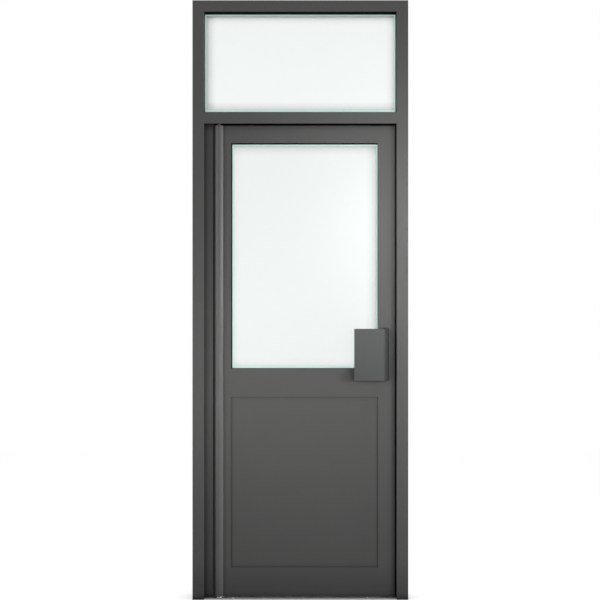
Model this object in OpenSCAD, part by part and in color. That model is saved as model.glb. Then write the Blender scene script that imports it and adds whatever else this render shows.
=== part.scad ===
// Aluminium entrance door in its frame: a half-glazed leaf that turns on a round pivot stile,
// under a glazed transom light. Millimetres, +Z up, front at -Y, origin under the threshold.

/* [Frame] */
// Overall width of the frame
frame_w = 900; // [760:1:1100]
// Overall height of the frame, with its transom light
frame_h = 2500; // [2350:1:2800]
// Depth of the frame from its front face to its back
frame_d = 90; // [88:1:110]
// Face width of the jambs and of the head
jamb_face = 48; // [46:1:58]
// Face height of the transom bar
transom_face = 48; // [45:1:58]
// Visible height of the transom light
transom_light_h = 418; // [300:1:560]
// Depth of the leg in front of the transom glass
frame_leg = 26; // [23:1:30]

/* [Leaf] */
// Thickness of the leaf frame
leaf_d = 40; // [38:1:44]
// Setback of the leaf face behind the frame face
leaf_recess = 20; // [17:1:22]
// Depth of the leg in front of the leaf glass
leaf_leg = 14; // [12:1:15]
// Face width of the lock stile
stile_face = 72; // [70:1:90]
// Flat face of the pivot stile beside its tube
pivot_flat = 32; // [30:1:44]
// Face height of the top rail
top_rail_face = 73; // [66:1:100]
// Face height of the mid rail
mid_rail_face = 120; // [90:1:160]
// Face height of the bottom rail
bottom_rail_face = 120; // [90:1:180]
// Visible height of the lower panel
panel_h = 714; // [500:1:780]
// Gap between the leaf and the lock jamb
gap_lock = 5; // [4:0.5:7]
// Gap between the leaf and the transom bar
gap_top = 6; // [5:0.5:8]
// Gap between the leaf and the threshold
gap_floor = 5; // [4:0.5:8]

/* [Extrusions and glazing] */
// Wall of the hollow profiles
wall = 2; // [1.6:0.1:2.4]
// Radius of the outer edges of the frame and of the lock stile
edge_r = 1.5; // [0.5:0.1:2]
// Height of the glazing rebates
rebate = 22; // [21:0.5:24]
// Wall of the glazing beads
bead_wall = 1.4; // [1.2:0.1:1.8]
// Thickness of the laminated glass
glass_t = 8.8; // [8:0.2:9.6]
// Bite of the glass behind the sight edge
glass_bite = 15; // [12:0.5:16]
// Thickness of the leaf gaskets
leaf_gasket = 3; // [2.5:0.1:3.4]
// Thickness of the transom gaskets
frame_gasket = 4; // [3:0.1:5]
// Lip of the glass gaskets past the sight edge
gasket_show = 0.5; // [0.2:0.1:4]
// Step of the lower panel in front of its edge
panel_raise = 14; // [9:0.5:14]
// Gap round the raised field of the lower panel
panel_gap = 0.6; // [0.4:0.1:3]

/* [Pivot side] */
// Outside diameter of the pivot tube
tube_d = 38; // [35:0.5:42]
// Wall of the pivot tube
tube_wall = 2.5; // [2:0.1:3]
// How far the tube stands proud of the leaf face
tube_proud = 11; // [9:0.5:12]
// Visible face of the finger guard
guard_band = 36; // [30:1:44]
// Dark joint between the finger guard and the tube
guard_joint = 7; // [6:0.5:8]
// Running gap of the tube in the throat of the guard
throat_gap = 3; // [2.5:0.1:3.5]
// Diameter of the pivot pins
pin_d = 12; // [10:0.5:14]
// Radial clearance of the pins in their bushes
pin_clear = 0.05; // [0.02:0.01:0.09]

/* [Pull handle] */
// Width of the pull plate
plate_w = 126; // [90:1:170]
// Height of the pull plate
plate_h = 217; // [180:1:320]
// Height of the middle of the pull plate above the floor
plate_z = 1022; // [980:1:1080]
// Stand-off of the front of the plate from the leaf face
plate_off = 45; // [38:1:60]
// Sheet thickness of the handle
sheet_t = 4; // [3:0.5:5]
// Sideways run of the slanted web between the plate and the leaf
web_run = 24; // [12:0.5:26]
// Width of the fixing flange that is folded back under the plate
flange_w = 30; // [27:1:36]
// Distance of the foot of the handle from the edge of the leaf
handle_in = 24; // [22:0.5:32]

/* [Threshold and fixings] */
// Thickness of the threshold
threshold_h = 5; // [4:0.5:7]
// Radius of the wall fixing holes
fix_r = 4.25; // [3.5:0.25:5.5]
// Distance of the end wall fixings from the top and the foot of a jamb
fix_end = 200; // [150:10:260]
// Spacing of the lintel fixings
lintel_pitch = 500; // [300:10:560]
// Radius of the floor fixing holes
floor_r = 2.75; // [2.25:0.25:3.25]
// Distance of the threshold fixings from the jambs
floor_end = 122; // [110:1:200]

/* [Magnets] */
// Height of the lower magnet above the floor
magnet_low = 560; // [400:10:700]
// Height of the upper magnet above the floor
magnet_high = 1480; // [1300:10:1600]
// Height of a magnet
magnet_h = 170; // [140:5:200]
// Width of a magnet
magnet_w = 30; // [26:1:31]

/* [Hidden] */
$fn = 96;
front = -frame_d / 2;
back = frame_d / 2;
hinge_edge = -frame_w / 2;
lock_edge = frame_w / 2;

// Clip rib of the beads and slot of the gaskets
rib_h = 2;
rib_w = 3;
rib_back = 4;
seat = rebate - rib_h;
slot_in = 5;
slot_w = 4.4;
slot_mouth = 2.4;
slot_d = 3.2;
slot_lip = 1.2;
gasket_w = 10;
ease = 0.2;

// Heights
head_sight = frame_h - jamb_face;
transom_top = head_sight - transom_light_h;
transom_z = transom_top - transom_face;
leaf_z = threshold_h + gap_floor;
leaf_top = transom_z - gap_top;
panel_z = leaf_z + bottom_rail_face;
mid_z = panel_z + panel_h;
glass_z = mid_z + mid_rail_face;
glass_top = leaf_top - top_rail_face;

// Pivot side, measured from the hinge edge and from the frame front
tube_r = tube_d / 2;
throat_r = tube_r + throat_gap;
band_end = jamb_face + guard_band;
pivot_u = band_end + guard_joint + tube_r;
pivot_v = leaf_recess - tube_proud + tube_r;
tube_half = sqrt(tube_r * tube_r - (tube_r - tube_proud) * (tube_r - tube_proud));
box_u = pivot_u + tube_half;
guard_end = box_u - 6;
pocket_d = 3;
foot_w = 2.5;
seal_gap = 0.4;
pivot_x = hinge_edge + pivot_u;
pivot_y = front + pivot_v;

// Leaf in plan
leaf_front = front + leaf_recess;
leaf_back = leaf_front + leaf_d;
leaf_end = lock_edge - jamb_face - gap_lock;
sight_l = hinge_edge + box_u + pivot_flat;
sight_r = leaf_end - stile_face;
leaf_glass_y = leaf_front + leaf_leg + leaf_gasket;
leaf_bead_y = leaf_glass_y + glass_t + leaf_gasket;
frame_sight_l = hinge_edge + jamb_face;
frame_sight_r = lock_edge - jamb_face;
frame_glass_y = front + frame_leg + frame_gasket;
frame_bead_y = frame_glass_y + glass_t + frame_gasket;

// Stops
stop_gap = 4;
stop_v = leaf_recess + leaf_d + stop_gap;
nose_w = 50;
top_stop_h = 26;
stop_slot_a = jamb_face + gap_lock + slot_in;
magnet_a = jamb_face + nose_w - wall - 0.5 - magnet_w / 2;
magnet_x = lock_edge - magnet_a;
magnet_y = leaf_back + ease;
armature_w = magnet_w - 2;
armature_h = magnet_h - 10;
armature_t = 10;
strap_t = 3;
lock_heights = [magnet_low, magnet_high];

// Pivot hardware
pin_r = pin_d / 2;
bush_r = pin_r + 3;
flange_t = 2;
flange_r = pin_r + 7;
bush_h = 24;
plug_h = 50;
pin_in = 22;
pivot_plate_w = 60;
pivot_plate_d = 40;
pivot_screw = 22;
cleat = 45;
corner_cleat = 100;
block_h = transom_face - rebate - 2 * wall - 2 * ease;

// Handle: a folded sheet that is worked out from the outside of its bends
bend_in = 2;
bend_out = bend_in + sheet_t;
plate_y = leaf_front - plate_off;
foot_x = leaf_end - handle_in;
plate_end = foot_x - web_run;
web_angle = atan2(plate_off, web_run);
web_out = [sin(web_angle), -cos(web_angle)];
function web_at(y, inset) = plate_end + (y - plate_y) * web_run / plate_off - inset / sin(web_angle);
plate_bend = [web_at(plate_y + bend_out, bend_out), plate_y + bend_out];
foot_bend = [web_at(leaf_front - bend_out, bend_out), leaf_front - bend_out];
screw_x = foot_x - flange_w / 2;
bolt_r = 3;
bolt_head_r = 5.5;
bolt_head_h = 2.5;
screw_r = 2.5;
screw_head = 4.6;
bolt_pitch = plate_h * 0.37;
bolt_heights = [plate_z - bolt_pitch, plate_z, plate_z + bolt_pitch];
cap_h = 8;

// Wall fixings
fix_y = front + (frame_leg + frame_d) / 2;
fix_pitch = (frame_h - 2 * fix_end) / 3;
fix_heights = [for (i = [0 : 3]) fix_end + i * fix_pitch];
floor_row = frame_d - 24;
floor_x = frame_sight_r - floor_end;

coat = "#5c5c5b";
silver = "#b4b5b3";
rubber = "#161616";
steel = "#9b9c9d";
dark = "#3a3a3a";
pane = [0.80, 0.92, 0.89, 0.55];

// A section drawn as across, depth becomes depth, across
module swapped() {
    mirror([1, -1]) children();
}

// A section in depth, height is run along X
module along_x(x0, x1) {
    translate([x0, 0, 0])
        rotate([90, 0, 90])
            linear_extrude(x1 - x0) children();
}

module slot_pad(at, depth) {
    translate([at - slot_w / 2 - wall, depth - slot_d - wall])
        square([slot_w + 2 * wall, slot_d + wall]);
}

module slot_cut(at, depth) {
    translate([at - slot_mouth / 2, depth - slot_d]) square([slot_mouth, slot_d + 1]);
    translate([at - slot_w / 2, depth - slot_d]) square([slot_w, slot_d - slot_lip]);
}

// What a round edge takes off a corner at the outer side of a profile
module edge_cut(depth) {
    difference() {
        translate([0, depth > 0 ? depth - edge_r : 0]) square(edge_r);
        translate([edge_r, depth > 0 ? depth - edge_r : edge_r]) circle(edge_r);
    }
}

// Hollow profile with a leg in front and a glazing rebate behind it on either side
module profile(face, depth, leg, low, high, rounded = false) {
    difference() {
        union() {
            difference() {
                union() {
                    square([face, leg]);
                    translate([low, 0]) square([face - low - high, depth]);
                }
                translate([wall, wall]) square([face - 2 * wall, leg - 2 * wall]);
                translate([low + wall, wall])
                    square([face - low - high - 2 * wall, depth - 2 * wall]);
            }
            if (high > 0) {
                slot_pad(face - slot_in, leg);
                translate([face - high - wall / 2, depth - rib_back - rib_w])
                    square([rib_h + wall / 2, rib_w]);
            }
            if (low > 0) {
                slot_pad(slot_in, leg);
                translate([low - rib_h, depth - rib_back - rib_w])
                    square([rib_h + wall / 2, rib_w]);
            }
        }
        if (high > 0) slot_cut(face - slot_in, leg);
        if (low > 0) slot_cut(slot_in, leg);
        if (rounded) {
            edge_cut(0);
            edge_cut(depth);
        }
    }
}

// Half space on one side of the mitre at the hinge side's upper corner
module mitre(above) {
    translate([hinge_edge, 0, frame_h])
        rotate([0, 45, 0])
            translate([-300, -300, above ? 0 : -600]) cube(600);
}

module jamb() {
    difference() {
        translate([hinge_edge, front, 0])
            linear_extrude(frame_h) profile(jamb_face, frame_d, frame_leg, 0, rebate, true);
        mitre(true);
        for (z = fix_heights)
            translate([hinge_edge - 1, fix_y, z])
                rotate([0, 90, 0]) cylinder(r = fix_r, h = jamb_face);
    }
}

module hinge_jamb() color(coat) jamb();

module lock_jamb() color(coat) mirror([1, 0, 0]) jamb();

module head() {
    color(coat) difference() {
        translate([0, front, frame_h])
            along_x(hinge_edge, lock_edge)
                mirror([0, 1]) swapped() profile(jamb_face, frame_d, frame_leg, 0, rebate, true);
        mitre(false);
        mirror([1, 0, 0]) mitre(false);
        for (x = [-lintel_pitch / 2, lintel_pitch / 2])
            translate([x, fix_y, frame_h - jamb_face]) cylinder(r = fix_r, h = jamb_face + 1);
    }
}

module transom_bar() {
    color(coat) difference() {
        translate([0, front, transom_z])
            along_x(frame_sight_l - seat, frame_sight_r + seat)
                swapped() profile(transom_face, frame_d, frame_leg, 0, rebate);
        for (x = [frame_sight_l - seat - 1, frame_sight_r])
            translate([x, front - 1, transom_z - 1])
                cube([seat + 1, frame_leg + 1, transom_face + 2]);
        translate([pivot_x, pivot_y, transom_z - 1]) cylinder(r = pin_r + 1, h = wall + 2);
    }
}

module threshold() {
    color(silver) difference() {
        along_x(frame_sight_l, frame_sight_r)
            difference() {
                polygon([[front, 0], [back, 0], [back, 1.6], [back - 6, threshold_h],
                    [front + 6, threshold_h], [front, 1.6]]);
                for (y = [15, 20, 25])
                    for (side = [-1, 1])
                        translate([side * y - 1, threshold_h - 0.8]) square([2, 2]);
            }
        translate([pivot_x - pivot_plate_w / 2 - ease, pivot_y - pivot_plate_d / 2 - ease, -1])
            cube([pivot_plate_w + 2 * ease, pivot_plate_d + 2 * ease, threshold_h + 2]);
        for (x = [-floor_x, floor_x])
            for (y = [-floor_row / 2, floor_row / 2])
                translate([x, y, 0]) floor_hole();
    }
}

// Countersunk hole through the threshold thickness
module floor_hole() {
    translate([0, 0, -1]) cylinder(r = floor_r, h = threshold_h + 2);
    translate([0, 0, threshold_h - 2]) cylinder(r1 = floor_r, r2 = floor_r + 2.4, h = 2.4);
}

module guard_section() {
    difference() {
        union() {
            translate([jamb_face - seat, frame_leg]) square([seat + 1, frame_d - frame_leg]);
            translate([jamb_face, leaf_recess])
                square([guard_end - jamb_face, frame_d - leaf_recess]);
        }
        translate([pivot_u, pivot_v]) circle(throat_r);
        translate([band_end, leaf_recess - 1]) square([guard_end, pocket_d + 1]);
        translate([band_end + 1, leaf_recess]) square([foot_w, 2 * pocket_d]);
        rear_pocket();
        difference() {
            union() {
                translate([jamb_face - seat + wall, frame_leg + wall])
                    square([seat + wall, frame_d - frame_leg - 2 * wall]);
                translate([jamb_face + wall, leaf_recess + wall])
                    square([guard_end - jamb_face - 2 * wall, frame_d - leaf_recess - 2 * wall]);
            }
            translate([pivot_u, pivot_v]) circle(throat_r + wall);
            translate([band_end - wall, 0])
                square([guard_end, leaf_recess + 2 * pocket_d + wall]);
            translate([guard_end - 7 - wall, 0])
                square([guard_end, pivot_v + throat_r + 1 + wall]);
        }
    }
}

module rear_pocket() {
    translate([guard_end - 7, pivot_v]) square([20, throat_r + 1]);
}

module finger_guard() {
    color(coat) translate([hinge_edge, front, threshold_h])
        linear_extrude(transom_z - threshold_h) guard_section();
}

module guard_seal_front() {
    color(rubber) translate([hinge_edge, front, threshold_h])
        linear_extrude(transom_z - threshold_h) {
            difference() {
                translate([band_end, leaf_recess + 0.4]) square([guard_joint + 3, pocket_d - 0.4]);
                translate([pivot_u, pivot_v]) circle(tube_r + seal_gap);
            }
            translate([band_end + 1.1, leaf_recess + 1]) square([foot_w - 0.2, 2 * pocket_d - 1.2]);
        }
}

module guard_seal_rear() {
    color(rubber) translate([hinge_edge, front, threshold_h])
        linear_extrude(transom_z - threshold_h)
            difference() {
                translate([guard_end - 7, pivot_v + tube_r - 6]) square([7, throat_gap + 7]);
                translate([pivot_u, pivot_v]) circle(tube_r + seal_gap);
            }
}

// Slot for a gasket in the front face of a stop
module stop_slot(at) {
    translate([at - slot_mouth / 2, stop_v - 1]) square([slot_mouth, slot_d + 1]);
    translate([at - slot_w / 2, stop_v + slot_lip]) square([slot_w, slot_d - slot_lip]);
}

module lock_stop() {
    color(coat) difference() {
        mirror([1, 0, 0])
            translate([hinge_edge, front, threshold_h])
                linear_extrude(transom_z - threshold_h)
                    difference() {
                        union() {
                            translate([jamb_face - seat, frame_leg])
                                square([seat, frame_d - frame_leg]);
                            translate([jamb_face - seat, stop_v])
                                square([seat + nose_w, frame_d - stop_v]);
                        }
                        difference() {
                            union() {
                                translate([jamb_face - seat + wall, frame_leg + wall])
                                    square([seat - 2 * wall, frame_d - frame_leg - 2 * wall]);
                                translate([jamb_face - seat + wall, stop_v + wall])
                                    square([seat + nose_w - 2 * wall, frame_d - stop_v - 2 * wall]);
                            }
                            translate([stop_slot_a - slot_w / 2 - wall, stop_v])
                                square([slot_w + 2 * wall, slot_d + wall]);
                        }
                        stop_slot(stop_slot_a);
                    }
        for (z = lock_heights) {
            translate([magnet_x - magnet_w / 2 - ease, front + stop_v - 1, z - magnet_h / 2 - ease])
                cube([magnet_w + 2 * ease, wall + 2, magnet_h + 2 * ease]);
            for (s = [-1, 1])
                translate([magnet_x, back - wall - 1, z + s * magnet_h * 0.42])
                    rotate([-90, 0, 0]) cylinder(r = 2.05, h = wall + 2);
        }
    }
}

module top_stop() {
    color(coat) translate([0, front, transom_z])
        along_x(hinge_edge + guard_end, lock_edge - jamb_face - nose_w)
            mirror([0, 1]) swapped() difference() {
                translate([0, stop_v]) square([top_stop_h, frame_d - stop_v]);
                difference() {
                    translate([wall, stop_v + wall])
                        square([top_stop_h - 2 * wall, frame_d - stop_v - 2 * wall]);
                    translate([gap_top + slot_in - slot_w / 2 - wall, stop_v])
                        square([slot_w + 2 * wall, slot_d + wall]);
                }
                stop_slot(gap_top + slot_in);
            }
}

module stop_lip(at) {
    translate([at - 4, stop_v - stop_gap + 0.3]) square([8, stop_gap - 0.3]);
}

module stop_foot(at) {
    translate([at - slot_mouth / 2 + 0.1, stop_v - 0.5]) square([slot_mouth - 0.2, slot_d + 0.3]);
    translate([at - slot_w / 2 + 0.15, stop_v + slot_lip + 0.15])
        square([slot_w - 0.3, slot_d - slot_lip - 0.35]);
}

module lock_stop_gasket() {
    color(rubber) mirror([1, 0, 0])
        translate([hinge_edge, front, threshold_h])
            linear_extrude(transom_z - threshold_h) {
                stop_lip(stop_slot_a);
                stop_foot(stop_slot_a);
            }
}

module top_stop_gasket() {
    at = gap_top + slot_in;
    color(rubber) translate([0, front, transom_z]) {
        along_x(hinge_edge + guard_end, lock_edge - stop_slot_a - 4)
            mirror([0, 1]) swapped() stop_lip(at);
        along_x(hinge_edge + guard_end, lock_edge - jamb_face - nose_w)
            mirror([0, 1]) swapped() stop_foot(at);
    }
}

module corner_cleat_block() {
    long = corner_cleat - wall - ease;
    thick = jamb_face - rebate - 2 * wall - 2 * ease;
    translate([hinge_edge + wall + ease, front + frame_leg + 4, frame_h - wall - ease]) {
        translate([0, 0, -long]) cube([thick, frame_d - frame_leg - 8, long]);
        translate([0, 0, -thick]) cube([long, frame_d - frame_leg - 8, thick]);
    }
}

module corner_cleats() {
    color(steel) {
        corner_cleat_block();
        mirror([1, 0, 0]) corner_cleat_block();
    }
}

module transom_cleat() {
    translate([frame_sight_l - seat, front + frame_leg + wall, transom_z + wall + ease])
        cube([cleat, frame_d - frame_leg - 2 * wall - ease, block_h]);
}

module transom_cleats() {
    color(steel) {
        transom_cleat();
        mirror([1, 0, 0]) transom_cleat();
    }
}

// Pane or panel edge that fills an opening and its bite
module sheet(x0, x1, z0, z1, y, t) {
    translate([x0 - glass_bite, y, z0 - glass_bite])
        cube([x1 - x0 + 2 * glass_bite, t, z1 - z0 + 2 * glass_bite]);
}

// Flat gasket ring around an opening, with its lip past the sight edge
module gasket_ring(x0, x1, z0, z1, y, t, show) {
    difference() {
        translate([x0 - gasket_w, y, z0 - gasket_w])
            cube([x1 - x0 + 2 * gasket_w, t, z1 - z0 + 2 * gasket_w]);
        translate([x0 + show, y - 1, z0 + show])
            cube([x1 - x0 - 2 * show, t + 2, z1 - z0 - 2 * show]);
    }
}

// Feet of an outer gasket in the slots behind the leg
module gasket_feet(x0, x1, z0, z1, y) {
    stem = slot_mouth - 0.2;
    bulb = slot_w - 0.3;
    in = slot_d - 0.15;
    for (z = [z0 - slot_in, z1 + slot_in]) {
        translate([x0 + 0.5, y - in, z - stem / 2]) cube([x1 - x0 - 1, in + 0.5, stem]);
        translate([x0 + 0.5, y - in, z - bulb / 2]) cube([x1 - x0 - 1, in - slot_lip - 0.15, bulb]);
    }
    for (x = [x0 - slot_in, x1 + slot_in]) {
        translate([x - stem / 2, y - in, z0 + 0.5]) cube([stem, in + 0.5, z1 - z0 - 1]);
        translate([x - bulb / 2, y - in, z0 + 0.5]) cube([bulb, in - slot_lip - 0.15, z1 - z0 - 1]);
    }
}

// Bead section: across from the rebate floor, depth from the gasket to the back
module bead_section(depth) {
    rib_y = depth - rib_back - rib_w;
    difference() {
        polygon([[0.1, 0], [rebate, 0], [rebate, depth - 1.2], [rebate - 1.2, depth], [0.1, depth]]);
        translate([0, rib_y - 0.15]) square([rib_h + 0.15, rib_w + 0.3]);
        translate([rib_h + 0.15 + bead_wall, bead_wall])
            square([rebate - rib_h - 0.15 - 2 * bead_wall, depth - 2 * bead_wall]);
    }
}

module bead_low(x0, x1, z0, y, depth) {
    translate([0, y, z0 - rebate]) along_x(x0 - seat, x1 + seat) swapped() bead_section(depth);
}

module bead_high(x0, x1, z1, y, depth) {
    translate([0, y, z1 + rebate])
        along_x(x0 - seat, x1 + seat) mirror([0, 1]) swapped() bead_section(depth);
}

module bead_left(x0, z0, z1, y, depth) {
    translate([x0 - rebate, y, z0]) linear_extrude(z1 - z0) bead_section(depth);
}

module bead_right(x1, z0, z1, y, depth) {
    translate([x1 + rebate, y, z0]) linear_extrude(z1 - z0) mirror([1, 0]) bead_section(depth);
}

module blocks(x0, x1, z0, y) {
    for (x = [x0 + (x1 - x0) / 5, x1 - (x1 - x0) / 5])
        translate([x - 40, y - 1, z0 - rebate]) cube([80, glass_t + 2, rebate - glass_bite]);
}

module transom_glass() {
    color(pane) sheet(frame_sight_l, frame_sight_r, transom_top, head_sight, frame_glass_y, glass_t);
}

module transom_gasket_outer() {
    color(rubber) {
        gasket_ring(frame_sight_l, frame_sight_r, transom_top, head_sight, front + frame_leg,
            frame_gasket, gasket_show);
        gasket_feet(frame_sight_l, frame_sight_r, transom_top, head_sight, front + frame_leg);
    }
}

module transom_gasket_inner() {
    color(rubber) gasket_ring(frame_sight_l, frame_sight_r, transom_top, head_sight,
        frame_glass_y + glass_t, frame_gasket, gasket_show);
}

frame_bead_d = back - frame_bead_y;

module transom_bead_top() {
    color(coat) bead_high(frame_sight_l, frame_sight_r, head_sight, frame_bead_y, frame_bead_d);
}

module transom_bead_bottom() {
    color(coat) bead_low(frame_sight_l, frame_sight_r, transom_top, frame_bead_y, frame_bead_d);
}

module transom_bead_left() {
    color(coat) bead_left(frame_sight_l, transom_top, head_sight, frame_bead_y, frame_bead_d);
}

module transom_bead_right() {
    color(coat) bead_right(frame_sight_r, transom_top, head_sight, frame_bead_y, frame_bead_d);
}

module transom_setting_blocks() {
    color(dark) blocks(frame_sight_l, frame_sight_r, transom_top, frame_glass_y);
}

module floor_pivot() {
    color(steel) translate([pivot_x, pivot_y, 0]) difference() {
        union() {
            translate([-pivot_plate_w / 2, -pivot_plate_d / 2, 0])
                cube([pivot_plate_w, pivot_plate_d, threshold_h]);
            cylinder(r = flange_r, h = leaf_z - flange_t);
            cylinder(r = pin_r, h = leaf_z + pin_in - 2);
            translate([0, 0, leaf_z + pin_in - 2]) cylinder(r1 = pin_r, r2 = pin_r - 1.5, h = 2);
        }
        for (x = [-pivot_screw, pivot_screw]) translate([x, 0, 0]) floor_hole();
    }
}

module top_pivot_block() {
    color(steel) translate([pivot_x, pivot_y, transom_z + wall + ease]) difference() {
        translate([-25, -15, 0]) cube([50, 30, block_h]);
        translate([0, 0, -1]) cylinder(r = pin_r + 0.02, h = block_h + 2);
    }
}

module top_pivot_pin() {
    color(steel) translate([pivot_x, pivot_y, 0]) {
        translate([0, 0, leaf_top - pin_in + 2])
            cylinder(r = pin_r, h = transom_z + wall + ease + block_h - leaf_top + pin_in - 2);
        translate([0, 0, leaf_top - pin_in]) cylinder(r1 = pin_r - 1.5, r2 = pin_r, h = 2);
    }
}

module magnet(z) {
    color(steel) difference() {
        translate([magnet_x - magnet_w / 2, magnet_y, z - magnet_h / 2])
            cube([magnet_w, back - wall - magnet_y, magnet_h]);
        for (s = [-1, 1])
            translate([magnet_x, magnet_y, z + s * magnet_h * 0.42])
                rotate([-90, 0, 0]) {
                    translate([0, 0, -1]) cylinder(r = 2.2, h = frame_d);
                    translate([0, 0, -1]) cylinder(r = 4.2, h = 5);
                }
    }
}

module magnet_lower() magnet(magnet_low);

module magnet_upper() magnet(magnet_high);

module magnet_screws() {
    color(steel) for (z = lock_heights)
        for (s = [-1, 1])
            translate([magnet_x, magnet_y + 4, z + s * magnet_h * 0.42])
                rotate([-90, 0, 0])
                    difference() {
                        union() {
                            translate([0, 0, -3]) cylinder(r = 3.8, h = 3);
                            cylinder(r = 2, h = back - 0.5 - magnet_y - 4);
                        }
                        translate([0, 0, -4]) cylinder(r = 1.7, h = 2.8, $fn = 6);
                    }
}

module pivot_stile() {
    color(coat) translate([hinge_edge, front, leaf_z])
        linear_extrude(leaf_top - leaf_z) {
            difference() {
                translate([pivot_u, pivot_v]) circle(tube_r);
                translate([pivot_u, pivot_v]) circle(tube_r - tube_wall);
                translate([box_u + wall / 2, leaf_recess]) square([pivot_flat, leaf_d]);
            }
            translate([box_u, leaf_recess]) profile(pivot_flat, leaf_d, leaf_leg, 0, rebate);
        }
}

module lock_stile() {
    color(coat) difference() {
        translate([leaf_end, leaf_front, leaf_z])
            linear_extrude(leaf_top - leaf_z)
                mirror([1, 0]) profile(stile_face, leaf_d, leaf_leg, 0, rebate, true);
        for (z = lock_heights)
            translate([magnet_x - armature_w / 2 - ease, leaf_back - wall - 1,
                    z - armature_h / 2 - ease])
                cube([armature_w + 2 * ease, wall + 2, armature_h + 2 * ease]);
        for (z = bolt_heights)
            translate([screw_x, leaf_front - 1, z])
                rotate([-90, 0, 0]) cylinder(r = bolt_r + ease, h = leaf_d + 2);
    }
}

// Rail between the stiles, with its front leg cut back to their sight edges
module rail(z0, z1) {
    difference() {
        translate([0, leaf_front, 0]) along_x(sight_l - seat, sight_r + seat) children();
        for (x = [sight_l - seat - 1, sight_r])
            translate([x, leaf_front - 1, z0 - 1]) cube([seat + 1, leaf_leg + 1, z1 - z0 + 2]);
    }
}

module top_rail() {
    color(coat) rail(glass_top, leaf_top)
        translate([0, leaf_top])
            mirror([0, 1]) swapped() profile(top_rail_face, leaf_d, leaf_leg, 0, rebate);
}

module mid_rail() {
    color(coat) rail(mid_z, glass_z)
        translate([0, mid_z]) swapped() profile(mid_rail_face, leaf_d, leaf_leg, rebate, rebate);
}

module bottom_rail() {
    color(coat) rail(leaf_z, panel_z)
        translate([0, leaf_z]) difference() {
            union() {
                swapped() profile(bottom_rail_face, leaf_d, leaf_leg, 0, rebate);
                translate([leaf_d / 2 - slot_w / 2 - wall, 0])
                    square([slot_w + 2 * wall, slot_d + wall]);
            }
            translate([leaf_d / 2 - slot_mouth / 2, -1]) square([slot_mouth, slot_d + 1]);
            translate([leaf_d / 2 - slot_w / 2, slot_lip]) square([slot_w, slot_d - slot_lip]);
        }
}

module rail_cleat_pair(z0, z1) {
    for (x = [sight_l - seat, sight_r + seat - cleat])
        translate([x, leaf_front + leaf_leg + 1, z0 + wall + ease])
            cube([cleat, leaf_d - leaf_leg - 1 - wall - ease, z1 - z0 - 2 * wall - 2 * ease]);
}

module rail_cleats() {
    color(steel) {
        rail_cleat_pair(glass_top + rebate, leaf_top);
        rail_cleat_pair(mid_z + rebate, glass_z - rebate);
        rail_cleat_pair(leaf_z + slot_d + wall, panel_z - rebate);
    }
}

module leaf_glass() {
    color(pane) sheet(sight_l, sight_r, glass_z, glass_top, leaf_glass_y, glass_t);
}

module leaf_gasket_outer() {
    color(rubber) {
        gasket_ring(sight_l, sight_r, glass_z, glass_top, leaf_front + leaf_leg, leaf_gasket,
            gasket_show);
        gasket_feet(sight_l, sight_r, glass_z, glass_top, leaf_front + leaf_leg);
    }
}

module leaf_gasket_inner() {
    color(rubber) gasket_ring(sight_l, sight_r, glass_z, glass_top, leaf_glass_y + glass_t,
        leaf_gasket, gasket_show);
}

leaf_bead_d = leaf_back - leaf_bead_y;

module leaf_bead_top() color(coat) bead_high(sight_l, sight_r, glass_top, leaf_bead_y, leaf_bead_d);

module leaf_bead_bottom() color(coat) bead_low(sight_l, sight_r, glass_z, leaf_bead_y, leaf_bead_d);

module leaf_bead_left() color(coat) bead_left(sight_l, glass_z, glass_top, leaf_bead_y, leaf_bead_d);

module leaf_bead_right() color(coat) bead_right(sight_r, glass_z, glass_top, leaf_bead_y, leaf_bead_d);

module leaf_setting_blocks() {
    color(dark) {
        blocks(sight_l, sight_r, glass_z, leaf_glass_y);
        blocks(sight_l, sight_r, panel_z, leaf_glass_y);
    }
}

module kick_panel() {
    color(coat) {
        sheet(sight_l, sight_r, panel_z, mid_z, leaf_glass_y, glass_t);
        translate([sight_l + panel_gap, leaf_glass_y - panel_raise, panel_z + panel_gap])
            cube([sight_r - sight_l - 2 * panel_gap, panel_raise + 1, panel_h - 2 * panel_gap]);
    }
}

module panel_gasket_outer() {
    color(rubber) {
        gasket_ring(sight_l, sight_r, panel_z, mid_z, leaf_front + leaf_leg, leaf_gasket, 0);
        gasket_feet(sight_l, sight_r, panel_z, mid_z, leaf_front + leaf_leg);
    }
}

module panel_gasket_inner() {
    color(rubber) gasket_ring(sight_l, sight_r, panel_z, mid_z, leaf_glass_y + glass_t, leaf_gasket,
        gasket_show);
}

module panel_bead_top() color(coat) bead_high(sight_l, sight_r, mid_z, leaf_bead_y, leaf_bead_d);

module panel_bead_bottom() color(coat) bead_low(sight_l, sight_r, panel_z, leaf_bead_y, leaf_bead_d);

module panel_bead_left() color(coat) bead_left(sight_l, panel_z, mid_z, leaf_bead_y, leaf_bead_d);

module panel_bead_right() color(coat) bead_right(sight_r, panel_z, mid_z, leaf_bead_y, leaf_bead_d);

// Area inside the fold, at a depth into the sheet, open towards the free edges
module fold(inset, reach) {
    r = bend_out - inset;
    mid = leaf_front - plate_off / 2;
    edge = plate_end - plate_w - reach;
    lip = foot_x - flange_w - reach;
    polygon([[edge, plate_y + inset], [plate_bend.x, plate_y + inset], plate_bend + r * web_out,
        foot_bend + r * web_out, [foot_bend.x, leaf_front - inset], [lip, leaf_front - inset],
        [lip, mid], [edge, mid]]);
    translate(plate_bend) circle(r);
    translate(foot_bend) circle(r);
}

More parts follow.
